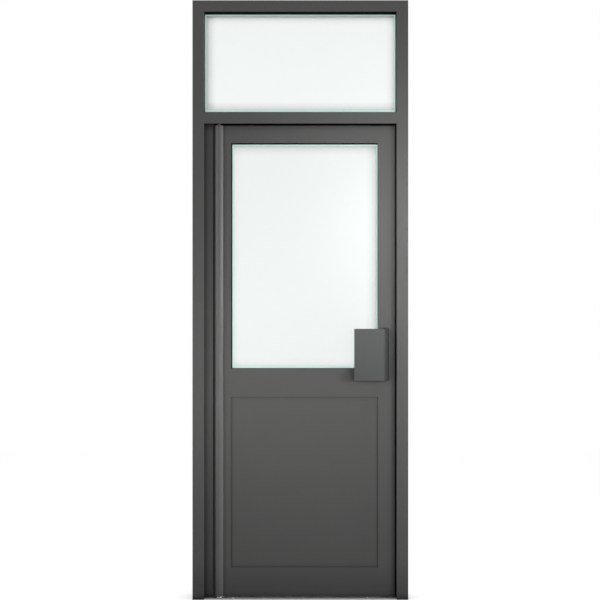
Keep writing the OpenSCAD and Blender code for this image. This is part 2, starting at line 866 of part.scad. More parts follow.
module pull_handle() {
    color(coat) difference() {
        translate([0, 0, plate_z - plate_h / 2])
            linear_extrude(plate_h)
                difference() {
                    fold(0, 0);
                    fold(sheet_t, 1);
                }
        for (z = bolt_heights)
            translate([screw_x, leaf_front - sheet_t - 1, z])
                rotate([-90, 0, 0]) cylinder(r = bolt_r + 0.05, h = sheet_t + 2);
    }
}

module handle_bolts() {
    color(steel) for (z = bolt_heights)
        translate([screw_x, leaf_back, z])
            rotate([90, 0, 0])
                difference() {
                    union() {
                        translate([0, 0, -bolt_head_h]) cylinder(r = bolt_head_r, h = bolt_head_h);
                        cylinder(r = bolt_r, h = leaf_d + sheet_t - 0.5);
                    }
                    translate([0, 0, -bolt_head_h - 1]) cylinder(r = 2.3, h = 2.8, $fn = 6);
                }
}

module handle_spacers() {
    color(steel) for (z = bolt_heights)
        translate([screw_x, leaf_front + wall, z])
            rotate([-90, 0, 0])
                difference() {
                    cylinder(r = 2 * bolt_r, h = leaf_d - 2 * wall);
                    translate([0, 0, -1]) cylinder(r = bolt_r + ease, h = leaf_d);
                }
}

// Plug in the open end of a stile, flush with the end
module stile_cap(face) {
    gap = wall + ease;
    linear_extrude(cap_h) {
        translate([gap, gap]) square([face - rebate - 2 * gap, leaf_d - 2 * gap]);
        translate([gap, gap])
            square([face - slot_in - slot_w / 2 - wall - ease - gap, leaf_leg - 2 * gap]);
    }
}

module stile_caps() {
    color(dark) for (z = [leaf_z, leaf_top - cap_h]) {
        translate([hinge_edge + box_u, leaf_front, z]) stile_cap(pivot_flat);
        translate([leaf_end, leaf_front, z]) mirror([1, 0, 0]) stile_cap(stile_face);
    }
}

module armature(z) {
    color(steel) difference() {
        translate([magnet_x - armature_w / 2, leaf_back - armature_t, z - armature_h / 2])
            cube([armature_w, armature_t, armature_h]);
        translate([magnet_x, leaf_back + 1, z])
            rotate([90, 0, 0]) cylinder(r = screw_r + 0.1, h = armature_t + 2);
        translate([magnet_x, leaf_back + 0.1, z])
            rotate([90, 0, 0])
                cylinder(r1 = screw_head + 0.2, r2 = screw_r + 0.1, h = screw_head - screw_r);
    }
}

module armature_lower() armature(magnet_low);

module armature_upper() armature(magnet_high);

module armature_straps() {
    reach = armature_h / 2 + 4;
    deep = leaf_back - armature_t - strap_t;
    color(steel) for (z = lock_heights)
        translate([magnet_x - armature_w / 2, 0, z]) difference() {
            union() {
                translate([0, deep, -reach - strap_t])
                    cube([armature_w, strap_t, 2 * reach + 2 * strap_t]);
                for (s = [-1, 1]) {
                    translate([0, deep, s > 0 ? reach : -reach - strap_t])
                        cube([armature_w, leaf_back - wall - deep, strap_t]);
                    translate([0, leaf_back - wall - strap_t, s > 0 ? reach : -reach - 25])
                        cube([armature_w, strap_t, 25]);
                }
            }
            translate([armature_w / 2, deep - 1, 0])
                rotate([-90, 0, 0]) cylinder(r = screw_r + 0.05, h = strap_t + 2);
        }
}

module armature_screws() {
    head_h = screw_head - screw_r;
    color(steel) for (z = lock_heights)
        translate([magnet_x, leaf_back, z])
            rotate([90, 0, 0])
                difference() {
                    union() {
                        cylinder(r1 = screw_head, r2 = screw_r, h = head_h);
                        cylinder(r = screw_r, h = armature_t + strap_t + 2);
                    }
                    translate([0, 0, -1]) cylinder(r = 1.7, h = 2.4, $fn = 6);
                }
}

// Plug in the end of the tube, open towards its bush
module plug() {
    difference() {
        cylinder(r = tube_r - tube_wall - 0.05, h = plug_h);
        translate([0, 0, -1]) cylinder(r = bush_r + 0.02, h = bush_h + 3);
    }
}

module pivot_plugs() {
    color(dark) {
        translate([pivot_x, pivot_y, leaf_z]) plug();
        translate([pivot_x, pivot_y, leaf_top]) mirror([0, 0, 1]) plug();
    }
}

module bush() {
    difference() {
        union() {
            translate([0, 0, -flange_t]) cylinder(r = flange_r, h = flange_t);
            cylinder(r = bush_r, h = bush_h);
        }
        translate([0, 0, -flange_t - 1]) cylinder(r = pin_r + pin_clear, h = bush_h + flange_t + 2);
    }
}

module pivot_bushes() {
    color("#a08a50") {
        translate([pivot_x, pivot_y, leaf_z]) bush();
        translate([pivot_x, pivot_y, leaf_top]) mirror([0, 0, 1]) bush();
    }
}

module bottom_brush() {
    pile = 5;
    color(rubber) translate([0, leaf_front + leaf_d / 2, 0])
        along_x(sight_l - seat + 1, sight_r + seat - 1) {
            translate([-pile / 2, threshold_h + 0.3]) square([pile, gap_floor - 0.3]);
            translate([-slot_mouth / 2 + 0.1, leaf_z - 0.5])
                square([slot_mouth - 0.2, slot_d + 0.3]);
            translate([-slot_w / 2 + 0.15, leaf_z + slot_lip + 0.15])
                square([slot_w - 0.3, slot_d - slot_lip - 0.35]);
        }
}

hinge_jamb();
lock_jamb();
head();
transom_bar();
threshold();
finger_guard();
lock_stop();
top_stop();
corner_cleats();
transom_cleats();
transom_glass();
transom_gasket_outer();
transom_gasket_inner();
transom_bead_top();
transom_bead_bottom();
transom_bead_left();
transom_bead_right();
transom_setting_blocks();
lock_stop_gasket();
top_stop_gasket();
guard_seal_front();
guard_seal_rear();
floor_pivot();
top_pivot_block();
top_pivot_pin();
magnet_lower();
magnet_upper();
magnet_screws();
pivot_stile();
lock_stile();
top_rail();
mid_rail();
bottom_rail();
rail_cleats();
leaf_glass();
leaf_gasket_outer();
leaf_gasket_inner();
leaf_bead_top();
leaf_bead_bottom();
leaf_bead_left();
leaf_bead_right();
leaf_setting_blocks();
kick_panel();
panel_gasket_outer();
panel_gasket_inner();
panel_bead_top();
panel_bead_bottom();
panel_bead_left();
panel_bead_right();
pull_handle();
handle_bolts();
handle_spacers();
armature_lower();
armature_upper();
armature_straps();
armature_screws();
pivot_plugs();
pivot_bushes();
bottom_brush();
stile_caps();
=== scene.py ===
"""Looks of an aluminium entrance door in its frame: coated extrusions, satin glass, seals and fittings.

Metres, +Z up, the front at -Y, the origin under the middle of the threshold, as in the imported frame.
"""

import math

import bpy
import numpy as np
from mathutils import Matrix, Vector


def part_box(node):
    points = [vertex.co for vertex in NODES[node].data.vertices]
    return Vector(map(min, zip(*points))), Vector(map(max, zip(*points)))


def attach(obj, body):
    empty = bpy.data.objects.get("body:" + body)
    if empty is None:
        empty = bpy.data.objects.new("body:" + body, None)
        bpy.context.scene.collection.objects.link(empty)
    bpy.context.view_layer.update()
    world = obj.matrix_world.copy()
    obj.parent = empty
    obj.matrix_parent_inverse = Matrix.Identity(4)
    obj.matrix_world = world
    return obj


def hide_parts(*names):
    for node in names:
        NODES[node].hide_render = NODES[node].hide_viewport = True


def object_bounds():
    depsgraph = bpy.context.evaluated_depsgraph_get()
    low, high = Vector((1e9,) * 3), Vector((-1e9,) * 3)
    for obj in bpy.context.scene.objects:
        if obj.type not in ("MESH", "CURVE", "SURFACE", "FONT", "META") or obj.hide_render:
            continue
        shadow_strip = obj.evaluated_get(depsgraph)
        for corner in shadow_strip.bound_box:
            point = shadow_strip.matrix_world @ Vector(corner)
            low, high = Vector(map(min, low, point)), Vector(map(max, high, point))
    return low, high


bl_info = {
    "name": "Entrance door looks",
    "version": (1, 0, 0),
    "blender": (4, 5, 0),
    "location": "3D View > Sidebar > Door",
    "description": "Finishes, panes, seals and stage for an aluminium entrance door in its frame",
    "category": "Object",
}

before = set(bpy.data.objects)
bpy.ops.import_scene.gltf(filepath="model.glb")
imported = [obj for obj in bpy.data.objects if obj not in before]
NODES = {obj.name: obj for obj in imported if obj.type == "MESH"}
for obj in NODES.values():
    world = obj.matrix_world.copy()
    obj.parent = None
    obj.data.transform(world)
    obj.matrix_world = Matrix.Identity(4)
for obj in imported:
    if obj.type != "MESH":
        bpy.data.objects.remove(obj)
CAD_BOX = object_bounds()
MM = 0.001

PROFILES = ["hinge_jamb", "lock_jamb", "head", "transom_bar", "finger_guard", "lock_stop", "top_stop",
            "lock_stile", "top_rail", "mid_rail", "bottom_rail"]
GLAZING_BEADS = ["transom_bead_top", "transom_bead_bottom", "transom_bead_left", "transom_bead_right",
                 "leaf_bead_top", "leaf_bead_bottom", "leaf_bead_left", "leaf_bead_right",
                 "panel_bead_top", "panel_bead_bottom", "panel_bead_left", "panel_bead_right"]
# Glazing gaskets: node, body, lip past the sight edge in metres
GLAZING_GASKETS = [("transom_gasket_outer", "frame", 0.5 * MM), ("transom_gasket_inner", "frame", 0.5 * MM),
                   ("leaf_gasket_outer", "leaf", 0.5 * MM), ("leaf_gasket_inner", "leaf", 0.5 * MM),
                   ("panel_gasket_outer", "leaf", 0.0), ("panel_gasket_inner", "leaf", 0.5 * MM)]
BARE_ALUMINIUM = ["threshold", "corner_cleats", "transom_cleats", "rail_cleats"]
PLATED_STEEL = ["floor_pivot", "top_pivot_block", "top_pivot_pin", "magnet_lower", "magnet_upper",
                "magnet_screws", "handle_bolts", "handle_spacers", "armature_lower", "armature_upper",
                "armature_straps", "armature_screws"]
MOULDED_NYLON = ["transom_setting_blocks", "leaf_setting_blocks", "pivot_plugs", "stile_caps"]
TURNED_BRONZE = ["pivot_bushes"]
# X at which the round of the pivot stile meets its flat face
TUBE_EDGE = -322.8 * MM
# The pull plate stands this far in front of the frame
PULL_PROUD = 25 * MM
FRAME_FRONT = CAD_BOX[0].y + PULL_PROUD

# Snap-in foot of a seal: half width of its stem and its bulb, length of the stem, depth of the whole
STEM = 1.1 * MM
BULB = 2.05 * MM
SNAP = 1.35 * MM
FOOT = 3.05 * MM
# Width of a glazing gasket's band, without its lip
BAND = 10 * MM
# Fins of a glazing gasket on the glass: distance from the root of the band and height, in millimetres
FINS = [[7, 0], [6.2, 0.5], [5.4, 0], [4.2, 0], [3.4, 0.5], [2.6, 0], [0, 0]]
# Front wiper of the guard in plan, in millimetres from the outer front corner of the hinge jamb
FRONT_WIPER = [[84, 20.4], [92.15, 20.4], [91.6, 21.7], [91.255, 23], [87.4, 23], [87.4, 25.8],
               [85.1, 25.8], [85.1, 23], [84, 23]]

SENSOR_MM = 36
CAMERA_ASIDE = -1.5 * MM
FLOOR_HALF = 4.0
FLOOR_POINTS = 9
# The floor lies a little under the threshold, so that the two don't fight
FLOOR_LEVEL = -0.5 * MM

# Softboxes: name, place, target, width and height in metres, power in watts, spread of a grid in degrees
SOFTBOXES = [
    ("right_side", (1.5, -1.0, 1.08), (0.45, 0.0, 1.05), 0.5, 0.5, 11.4),
    ("right_front", (0.8, -1.5, 1.08), (0.6, 0.0, 1.08), 0.6, 0.6, 6.9),
    ("right_grid", (0.55, -2.0, 1.65), (0.45, 0.0, 1.65), 0.4, 0.4, 1.35, 45.0),
    ("left_grid", (-0.3, -2.0, 0.98), (-0.2, 0.0, 0.9), 0.4, 0.4, 0.65, 45.0),
    ("overhead", (0.0, -1.2, 3.7), (0.0, 0.0, 1.6), 1.6, 0.8, 7.6),
    ("right_strip", (2.4, -0.2, 1.55), (-0.3, 0.0, 1.4), 0.25, 1.6, 48.0),
    ("left_strip", (-1.8, -0.7, 1.3), (0.3, 0.0, 1.2), 0.3, 2.0, 15.0),
    ("back_left", (1.3, 2.3, 1.7), (0.0, 0.0, 1.2), 1.0, 1.6, 16.0),
    ("back_right", (-1.3, 2.3, 1.5), (0.0, 0.0, 1.2), 1.0, 1.6, 16.0),
]


def linear(code):
    """Linear colour with alpha 1 from an sRGB hex code."""
    srgb = np.array([int(code[i:i + 2], 16) for i in (1, 3, 5)]) / 255
    value = np.where(srgb <= 0.04045, srgb / 12.92, ((srgb + 0.055) / 1.055) ** 2.4)
    return (*value.tolist(), 1.0)


class CoatSettings(bpy.types.PropertyGroup):
    """Powder coat on the profiles, the panel and the handle."""

    grey: bpy.props.FloatVectorProperty(
        name="Profile grey", description="Colour of the coat on the profiles",
        size=4, subtype="COLOR", min=0, max=1, default=linear("#575756"))
    panel_grey: bpy.props.FloatVectorProperty(
        name="Panel grey", description="Colour of the coat on the lower panel",
        size=4, subtype="COLOR", min=0, max=1, default=linear("#575756"))
    handle_grey: bpy.props.FloatVectorProperty(
        name="Handle grey", description="Colour of the coat on the pull handle",
        size=4, subtype="COLOR", min=0, max=1, default=linear("#4E504F"))
    # Painted shade: a darker copy of the coat for the slanted web behind the plate
    web_shade_grey: bpy.props.FloatVectorProperty(
        name="Web grey", description="Colour of the thinner coat behind the plate of the pull handle",
        size=4, subtype="COLOR", min=0, max=1, default=linear("#272928"))
    roughness: bpy.props.FloatProperty(
        name="Roughness", description="Roughness of the satin coat",
        default=0.55, min=0, max=1, subtype="FACTOR")
    gloss: bpy.props.FloatProperty(
        name="Gloss", description="Level of the reflection of open faces",
        default=0.25, min=0, max=1, subtype="FACTOR")
    # Reach of the painted shade in corners and joints
    corner: bpy.props.FloatProperty(
        name="Corner", description="Reach of the darker coat in corners and joints",
        default=32 * MM, unit="LENGTH")
    peel: bpy.props.FloatProperty(
        name="Peel", description="Width of the ripples that the melted powder leaves",
        default=2.4 * MM, min=0.2 * MM, unit="LENGTH")


class PaneSettings(bpy.types.PropertyGroup):
    """Laminated satin glass."""

    transom_satin: bpy.props.FloatVectorProperty(
        name="Transom tint", description="Tint of the etched field of the transom light",
        size=4, subtype="COLOR", min=0, max=1, default=linear("#F2F6F5"))
    # Painted shade: the leaf's field is tinted darker than the transom's, though it is the same glass
    leaf_satin: bpy.props.FloatVectorProperty(
        name="Leaf tint", description="Tint of the etched field of the leaf",
        size=4, subtype="COLOR", min=0, max=1, default=linear("#EAEFEE"))
    margin_green: bpy.props.FloatVectorProperty(
        name="Margin green", description="Colour of the clear margin, where the body of the glass shows",
        size=4, subtype="COLOR", min=0, max=1, default=linear("#C4E4DA"))
    # The ground edge, also used as painted shadow where it stands past the sight edge
    edge_and_shadow_green: bpy.props.FloatVectorProperty(
        name="Edge green", description="Colour of the ground edge",
        size=4, subtype="COLOR", min=0, max=1, default=linear("#101C18"))
    # Strength of the painted glow in the clear margin
    painted_rim_glow: bpy.props.FloatProperty(
        name="Rim light", description="Light that the glass pipes to its clear margin",
        default=0.28, min=0, max=1)
    bite: bpy.props.FloatProperty(
        name="Bite", description="Width of the edge that is held behind the profiles",
        default=15 * MM, unit="LENGTH")
    margin: bpy.props.FloatProperty(
        name="Margin", description="Width of the clear margin past the sight edge",
        default=6 * MM, unit="LENGTH")
    arris: bpy.props.FloatProperty(
        name="Arris", description="Width of the ground bevel along the edges",
        default=1 * MM, unit="LENGTH")


class PanelSettings(bpy.types.PropertyGroup):
    """Raised lower panel."""

    border: bpy.props.FloatProperty(
        name="Border", description="Width of the thin border round the raised field",
        default=15.08 * MM, unit="LENGTH")
    raised: bpy.props.FloatProperty(
        name="Raised", description="Height of the field above its border",
        default=14 * MM, unit="LENGTH")
    shoulder: bpy.props.FloatProperty(
        name="Shoulder", description="Radius along the edge of the raised field",
        default=0.5 * MM, unit="LENGTH")
    # Width of the painted shade along the edge of the raised field
    shade_band: bpy.props.FloatProperty(
        name="Film", description="Width of the film that wiping leaves along the edge of the field",
        default=24 * MM, unit="LENGTH")


class HandleSettings(bpy.types.PropertyGroup):
    """Pull handle folded from one sheet."""

    plate: bpy.props.FloatProperty(
        name="Plate", description="Width of the plate up to the outside of its fold",
        default=126 * MM, unit="LENGTH")
    run: bpy.props.FloatProperty(
        name="Web run", description="Sideways run of the slanted web",
        default=24 * MM, unit="LENGTH")
    flange: bpy.props.FloatProperty(
        name="Flange", description="Width of the flange that lies on the leaf",
        default=30 * MM, unit="LENGTH")
    thickness: bpy.props.FloatProperty(
        name="Sheet", description="Thickness of the sheet",
        default=4 * MM, unit="LENGTH")
    bend: bpy.props.FloatProperty(
        name="Bend", description="Inside radius of the folds",
        default=2 * MM, unit="LENGTH")
    edge: bpy.props.FloatProperty(
        name="Edge", description="Radius along the cut edges",
        default=1.5 * MM, unit="LENGTH")


class SealSettings(bpy.types.PropertyGroup):
    """Rubber seals and the brush under the leaf."""

    black: bpy.props.FloatVectorProperty(
        name="Rubber black", description="Colour of the seals",
        size=4, subtype="COLOR", min=0, max=1, default=linear("#1B1B1A"))
    tuft_pitch: bpy.props.FloatProperty(
        name="Bristle pitch", description="Distance between the bristles of the brush",
        default=1.6 * MM, unit="LENGTH")
    tuft_rows: bpy.props.IntProperty(
        name="Bristle rows", description="Rows of bristles across the brush", default=4, min=1)


class StageSettings(bpy.types.PropertyGroup):
    """Floor, light and camera."""

    distance: bpy.props.FloatProperty(
        name="Camera distance", description="Distance of the camera from the front of the frame",
        default=4.2, unit="LENGTH")
    eye: bpy.props.FloatProperty(
        name="Eye height", description="Height of the camera above the floor",
        default=1.25, unit="LENGTH")
    lens: bpy.props.FloatProperty(
        name="Lens", description="Focal length in millimetres on a 36 mm sensor", default=60.45)
    ambient: bpy.props.FloatProperty(
        name="Ambient", description="Strength of the even light all round", default=0.2, min=0)


def add(tree, kind, sockets=(), **settings):
    """Adds a node with its settings, and fills its sockets, by name or in order, with values or links."""
    made = tree.nodes.new(kind)
    for name, value in settings.items():
        setattr(made, name, value)
    for name, value in sockets.items() if isinstance(sockets, dict) else enumerate(sockets):
        if isinstance(value, bpy.types.NodeSocket):
            tree.links.new(value, made.inputs[name])
        else:
            made.inputs[name].default_value = value
    return made


def new_material(name):
    """An empty node material and its node tree."""
    made = bpy.data.materials.new(name)
    made.use_nodes = True
    made.node_tree.nodes.clear()
    return made, made.node_tree


def per_metre(size):
    """Scale of a noise whose cells are of that size in metres."""
    return 1 / size


def clouded(tree, place, colour, size, spread):
    """A colour that drifts lighter and darker by a share, in clouds of a size."""
    cloud = add(tree, "ShaderNodeTexNoise", {"Vector": place, "Scale": per_metre(size), "Detail": 3.0})
    rgb = np.array(colour[:3])
    low = (*(rgb * (1 - spread)).tolist(), 1.0)
    high = (*(rgb * (1 + spread)).tolist(), 1.0)
    ramp = add(tree, "ShaderNodeMix", {"Factor": cloud.outputs["Fac"]}, data_type="RGBA")
    ramp.inputs[6].default_value = low
    ramp.inputs[7].default_value = high
    return ramp.outputs[2]


def drifting(tree, place, size, low, high):
    """A number that drifts between two values, in clouds of a size."""
    cloud = add(tree, "ShaderNodeTexNoise", {"Vector": place, "Scale": per_metre(size), "Detail": 2.0})
    return add(tree, "ShaderNodeMapRange", (cloud.outputs["Fac"], 0.3, 0.7, low, high)).outputs[0]


def grained(tree, place, size, detail, strength, depth):
    """The normal of a face, tipped by grains of a size and a depth in metres."""
    grain = add(tree, "ShaderNodeTexNoise", {"Vector": place, "Scale": per_metre(size), "Detail": detail})
    bump = add(tree, "ShaderNodeBump", {"Height": grain.outputs["Fac"], "Strength": strength,
                                        "Distance": depth})
    return bump.outputs["Normal"]


def openness(tree, reach, lean=(0.0, 0.0)):
    """How open the air is over a reach, 0 to 1; lean tips the measured half space along X and Z.

    Inside a pane the far face counts as open.
    """
    face = add(tree, "ShaderNodeNewGeometry").outputs
    tipped = add(tree, "ShaderNodeVectorMath", (face["Normal"], (lean[0], 0.0, lean[1])), operation="ADD")
    level = add(tree, "ShaderNodeVectorMath", (tipped.outputs[0],), operation="NORMALIZE")
    made = add(tree, "ShaderNodeAmbientOcclusion", {"Distance": reach, "Normal": level.outputs[0]},
               samples=8)
    either = add(tree, "ShaderNodeMath", (made.outputs["AO"], face["Backfacing"]), operation="MAXIMUM")
    return either.outputs[0]


def dimmed(tree, colour, value, low, high, first, last):
    """A colour times a share that goes from first to last while a value goes from low to high."""
    share = add(tree, "ShaderNodeMapRange", (value, low, high, first, last))
    dim = add(tree, "ShaderNodeVectorMath", {0: colour, "Scale": share.outputs[0]}, operation="SCALE")
    return dim.outputs[0]


def powder_coat(name, colour, settings, darkest=0.52, polish=0.0, edge_shade=0.0, under=0.2):
    """Polyester powder coat, melted on: an even satin skin with a fine ripple and no flake.

    polish is the gloss that passing hands add to the round of the pivot stile, in its corners too. The
    argument after polish is the share that painted shade takes from the colour where the piece's own
    shade attribute is 1. under is the share of colour left on faces that look down, painted shade. The
    coat is painted darker in corners and joints, and within 150 mm of the floor, as shade.
    """
    made, tree = new_material(name)
    place = add(tree, "ShaderNodeTexCoord").outputs["Object"]
    at = add(tree, "ShaderNodeSeparateXYZ", (place,)).outputs
    normal = add(tree, "ShaderNodeNewGeometry").outputs["Normal"]
    facing = add(tree, "ShaderNodeSeparateXYZ", (normal,)).outputs
    # Painted shade: gloss is taken from joints, and faces that look down are darkened
    down_shade_range = (facing["Z"], -0.9, -0.3, under, 1.0)
    down_shade = add(tree, "ShaderNodeMapRange", down_shade_range).outputs[0]
    open_air = add(tree, "ShaderNodeMath", (openness(tree, settings.corner), down_shade),
                   operation="MULTIPLY").outputs[0]
    gloss = add(tree, "ShaderNodeMapRange", (open_air, 0.6, 0.9, 0.0, settings.gloss)).outputs[0]
    rough = drifting(tree, place, 60 * MM, settings.roughness - 0.03, settings.roughness + 0.03)
    if polish:
        worn = (at["X"], TUBE_EDGE, TUBE_EDGE + 1 * MM, polish, 0.0)
        hand = add(tree, "ShaderNodeMapRange", worn).outputs[0]
        smooth = add(tree, "ShaderNodeMath", (hand, 0.3), operation="MULTIPLY").outputs[0]
        gloss = add(tree, "ShaderNodeMath", (gloss, hand), operation="ADD").outputs[0]
        rough = add(tree, "ShaderNodeMath", (rough, smooth), operation="SUBTRACT").outputs[0]
    # Painted shade in corners and joints, where the air round is closed, and within 150 mm of the floor
    tint = clouded(tree, place, colour, 180 * MM, 0.03)
    tint = dimmed(tree, tint, open_air, 0.3, 0.93, darkest, 1.0)
    tint = dimmed(tree, tint, at["Z"], 0.0, 150 * MM, 0.55, 1.0)
    tint = dimmed(tree, tint, *down_shade_range)
    if edge_shade:
        shade_band = add(tree, "ShaderNodeAttribute", attribute_name="edge_shade").outputs["Fac"]
        tint = dimmed(tree, tint, shade_band, 0.0, 1.0, 1.0, 1 - edge_shade)
    # The ripple of such a coat is about 0.8 mm wide, drawn coarser here so that it shows
    coat = add(tree, "ShaderNodeBsdfPrincipled", {
        "Base Color": tint, "Roughness": rough, "Specular IOR Level": gloss,
        "Normal": grained(tree, place, settings.peel, 1.0, 0.1, 0.4 * MM)})
    add(tree, "ShaderNodeOutputMaterial", {"Surface": coat.outputs["BSDF"]})
    return made


def satin_glass(name, tint, lean, frame_shade):
    """Acid-etched laminated glass: light passes and is scattered, so only soft shapes show through.

    Painted shade along the frame, heavier to the right where lean's X is positive and to the top where its
    Z is. The last argument is the share of the tint that the painted shade leaves in the closest corner.
    """
    made, tree = new_material(name)
    place = add(tree, "ShaderNodeTexCoord").outputs["Object"]
    # Painted shade where the air over the glass is closed, next to the frame
    tint = dimmed(tree, clouded(tree, place, tint, 300 * MM, 0.006), openness(tree, 50 * MM, lean),
                  0.5, 0.98, frame_shade, 1.0)
    # Etch pits are a few hundredths of a millimetre wide, drawn at 1.5 mm so that they show close to
    glass = add(tree, "ShaderNodeBsdfPrincipled", {
        "Base Color": tint, "Roughness": 0.45, "IOR": 1.5, "Transmission Weight": 1.0,
        "Specular IOR Level": 0.3, "Normal": grained(tree, place, 1.5 * MM, 2.0, 0.03, 0.3 * MM)})
    add(tree, "ShaderNodeOutputMaterial", {"Surface": glass.outputs["BSDF"]})
    return made


def clear_margin(settings):
    """Margin that the etch leaves clear: the green body of float glass, with a painted glow along its rim.
    """
    made, tree = new_material("green_glass_margin_with_glow")
    place = add(tree, "ShaderNodeTexCoord").outputs["Object"]
    glass = add(tree, "ShaderNodeBsdfPrincipled", {
        "Base Color": clouded(tree, place, settings.margin_green, 40 * MM, 0.04),
        "Emission Color": settings.margin_green, "Emission Strength": settings.painted_rim_glow,
        "Roughness": 0.5, "IOR": 1.5, "Transmission Weight": 0.5})
    add(tree, "ShaderNodeOutputMaterial", {"Surface": glass.outputs["BSDF"]})
    return made


def ground_edge_and_shadow(settings):
    """Ground edge of float glass inside its rebate: a deep bottle green, matt from the wheel. Where it
    stands past the sight edge it is painted shadow.
    """
    made, tree = new_material("ground_glass_edge_and_shadow")
    place = add(tree, "ShaderNodeTexCoord").outputs["Object"]
    glass = add(tree, "ShaderNodeBsdfPrincipled", {
        "Base Color": clouded(tree, place, settings.edge_and_shadow_green, 12 * MM, 0.1),
        "Roughness": drifting(tree, place, 3 * MM, 0.5, 0.65), "IOR": 1.5,
        "Specular IOR Level": 0.2})
    add(tree, "ShaderNodeOutputMaterial", {"Surface": glass.outputs["BSDF"]})
    return made


def seal_rubber(settings):
    """Extruded EPDM: matt black with a dusty bloom and a faint grain from the die."""
    made, tree = new_material("extruded_epdm_rubber")
    place = add(tree, "ShaderNodeTexCoord").outputs["Object"]
    skin = add(tree, "ShaderNodeBsdfPrincipled", {
        "Base Color": clouded(tree, place, settings.black, 30 * MM, 0.25),
        "Roughness": drifting(tree, place, 12 * MM, 0.7, 0.85),
        "Specular IOR Level": 0.3,
        "Normal": grained(tree, place, 1.2 * MM, 2.0, 0.1, 0.2 * MM)})
    add(tree, "ShaderNodeOutputMaterial", {"Surface": skin.outputs["BSDF"]})
    return made


def brush_pile(settings):
    """Polypropylene bristles: black, a little glossy along each hair."""
    made, tree = new_material("polypropylene_bristle")
    place = add(tree, "ShaderNodeTexCoord").outputs["Object"]
    hair = add(tree, "ShaderNodeBsdfPrincipled", {
        "Base Color": clouded(tree, place, settings.black, 3 * MM, 0.4),
        "Roughness": drifting(tree, place, 4 * MM, 0.4, 0.6)})
    add(tree, "ShaderNodeOutputMaterial", {"Surface": hair.outputs["BSDF"]})
    return made


def moulded_nylon():
    """Injection-moulded nylon: dark, with a fine spark-eroded grain."""
    made, tree = new_material("moulded_black_nylon")
    place = add(tree, "ShaderNodeTexCoord").outputs["Object"]
    skin = add(tree, "ShaderNodeBsdfPrincipled", {
        "Base Color": clouded(tree, place, linear("#2A2A2B"), 20 * MM, 0.06),
        "Roughness": drifting(tree, place, 10 * MM, 0.48, 0.58),
        "Normal": grained(tree, place, 0.9 * MM, 2.0, 0.12, 0.2 * MM)})
    add(tree, "ShaderNodeOutputMaterial", {"Surface": skin.outputs["BSDF"]})
    return made


def mill_aluminium():
    """Extruded aluminium as it leaves the die: pale, with fine lines along its length."""
    made, tree = new_material("mill_finish_aluminium")
    place = add(tree, "ShaderNodeTexCoord").outputs["Object"]
    # Die lines run along X, about 0.7 mm apart across the strip
    along = add(tree, "ShaderNodeMapping", {"Vector": place, "Scale": (0.02, 1.0, 1.0)})
    lines = add(tree, "ShaderNodeTexNoise", {"Vector": along.outputs["Vector"],
                                             "Scale": per_metre(0.7 * MM), "Detail": 3.0})
    bump = add(tree, "ShaderNodeBump", {"Height": lines.outputs["Fac"], "Strength": 0.15,
                                        "Distance": 0.1 * MM})
    rough = add(tree, "ShaderNodeMapRange", (lines.outputs["Fac"], 0.0, 1.0, 0.34, 0.52))
    metal = add(tree, "ShaderNodeBsdfPrincipled", {
        "Base Color": clouded(tree, place, linear("#B9BAB8"), 45 * MM, 0.05),
        "Metallic": 1.0, "Roughness": rough.outputs["Result"],
        "Normal": bump.outputs["Normal"]})
    add(tree, "ShaderNodeOutputMaterial", {"Surface": metal.outputs["BSDF"]})
    return made


def zinc_steel():
    """Zinc-plated steel: a cool grey metal with a soft mottle from the bath."""
    made, tree = new_material("zinc_plated_steel")
    place = add(tree, "ShaderNodeTexCoord").outputs["Object"]
    metal = add(tree, "ShaderNodeBsdfPrincipled", {
        "Base Color": clouded(tree, place, linear("#A9ACB0"), 6 * MM, 0.08),
        "Metallic": 1.0, "Roughness": drifting(tree, place, 4 * MM, 0.28, 0.42)})
    add(tree, "ShaderNodeOutputMaterial", {"Surface": metal.outputs["BSDF"]})
    return made


def bearing_bronze():
    """Sintered bronze, dark with the oil it holds: a warm brown metal with rings left by the tool."""
    made, tree = new_material("turned_bearing_bronze")
    place = add(tree, "ShaderNodeTexCoord").outputs["Object"]
    rings = add(tree, "ShaderNodeTexWave", {"Vector": place, "Scale": per_metre(0.8 * MM) / 20},
                bands_direction="Z")
    bump = add(tree, "ShaderNodeBump", {"Height": rings.outputs["Fac"], "Strength": 0.1,
                                        "Distance": 0.05 * MM})
    metal = add(tree, "ShaderNodeBsdfPrincipled", {
        "Base Color": clouded(tree, place, linear("#3F3325"), 8 * MM, 0.12),
        "Metallic": 1.0, "Roughness": drifting(tree, place, 5 * MM, 0.3, 0.4),
        "Normal": bump.outputs["Normal"]})
    add(tree, "ShaderNodeOutputMaterial", {"Surface": metal.outputs["BSDF"]})
    return made


def finish_nodes(names, material):
    """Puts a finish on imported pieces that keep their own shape."""
    for name in names:
        for place in NODES[name].material_slots:
            place.material = material


def grid_faces(rows, columns, closed=False, looped=False):
    """Quads between neighbours of a grid of points.

    A closed grid joins its last column to its first, and a looped one its last row to its first.
    """
    step = np.arange(rows if looped else rows - 1)[:, None]
    here = np.arange(columns if closed else columns - 1)[None, :]
    row = step * columns
    up = (step + 1) % rows * columns
    there = (here + 1) % columns
    return np.stack([row + here, row + there, up + there, up + here], axis=-1).reshape(-1, 4)


def build(name, points, faces, materials, body, node, crease=35.0, shades=None):
    """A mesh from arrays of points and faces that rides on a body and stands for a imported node."""
    mesh = bpy.data.meshes.new(name)
    mesh.from_pydata(points.reshape(-1, 3).tolist(), [], [list(map(int, f)) for f in faces])
    mesh.validate()
    mesh.polygons.foreach_set("use_smooth", np.ones(len(mesh.polygons), dtype=bool))
    mesh.set_sharp_from_angle(angle=math.radians(crease))
    for material in materials:
        mesh.materials.append(material)
    if shades is not None:
        mesh.polygons.foreach_set("material_index", np.asarray(shades, dtype=np.int32))
    made = bpy.data.objects.new(name, mesh)
    bpy.context.scene.collection.objects.link(made)
    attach(made, body)
    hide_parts(node)
    return made


